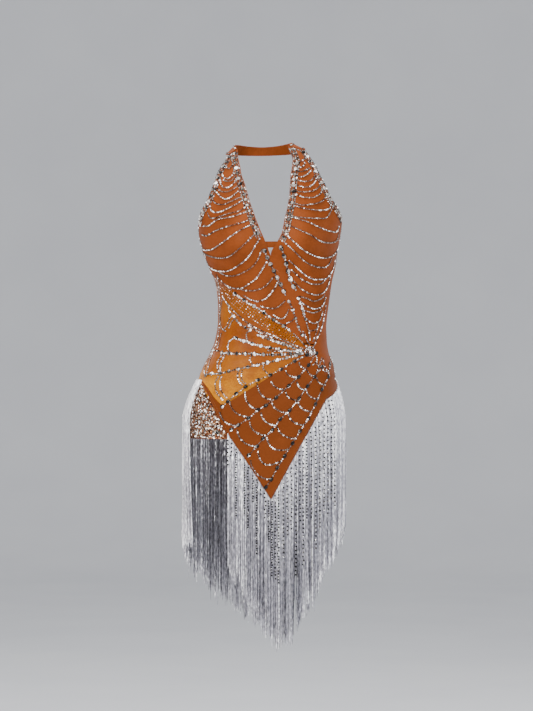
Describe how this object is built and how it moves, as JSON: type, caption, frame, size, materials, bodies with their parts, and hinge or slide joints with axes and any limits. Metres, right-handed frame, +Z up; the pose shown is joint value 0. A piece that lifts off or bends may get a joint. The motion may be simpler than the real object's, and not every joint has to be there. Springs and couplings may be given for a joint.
{
  "type": "latin dance dress",
  "caption": "Halter dance dress with a crossed draped bodice, sheer midriff, pointed hip panel, sequined shorts and a long pointed fringe skirt, hollow as worn.",
  "frame": {"origin": "middle of the inner face of the neck band at the nape, where the wearer's neck holds the dress up", "axes": "+Z up, -Y the way the wearer faces, +X towards the wearer's left"},
  "size_m": [0.341, 0.2464, 1.0646],
  "materials": {
    "stretch_cloth": "matt stretch jersey, rust nude",
    "sheer_mesh": "fine stretch mesh, honey nude",
    "sequin_cloth": "silver and copper sequins on stretch cloth",
    "crystal": "foil-backed faceted glass crystals in metal cups",
    "fringe": "shiny silver-white fringe yarn"
  },
  "bodies": {
    "root": {"bodice_right": "stretch_cloth", "bodice_left": "stretch_cloth", "bust_bridge": "stretch_cloth", "neck_band": "stretch_cloth", "side_panel_left": "stretch_cloth", "back_panel": "stretch_cloth", "hip_panel": "stretch_cloth", "window_mesh": "sheer_mesh", "midriff_mesh": "sheer_mesh", "shorts_front": "sequin_cloth", "shorts_back": "sequin_cloth", "shorts_gusset": "sequin_cloth", "waist_cluster": "crystal", "ray_1": "crystal", "ray_2": "crystal", "ray_3": "crystal", "ray_4": "crystal", "net_chain_1": "crystal", "net_chain_2": "crystal", "net_chain_3": "crystal", "net_chain_4": "crystal", "fringe_front_right": "fringe", "fringe_front_left": "fringe", "fringe_back_left": "fringe", "fringe_back_right": "fringe"}
  },
  "joints": []
}
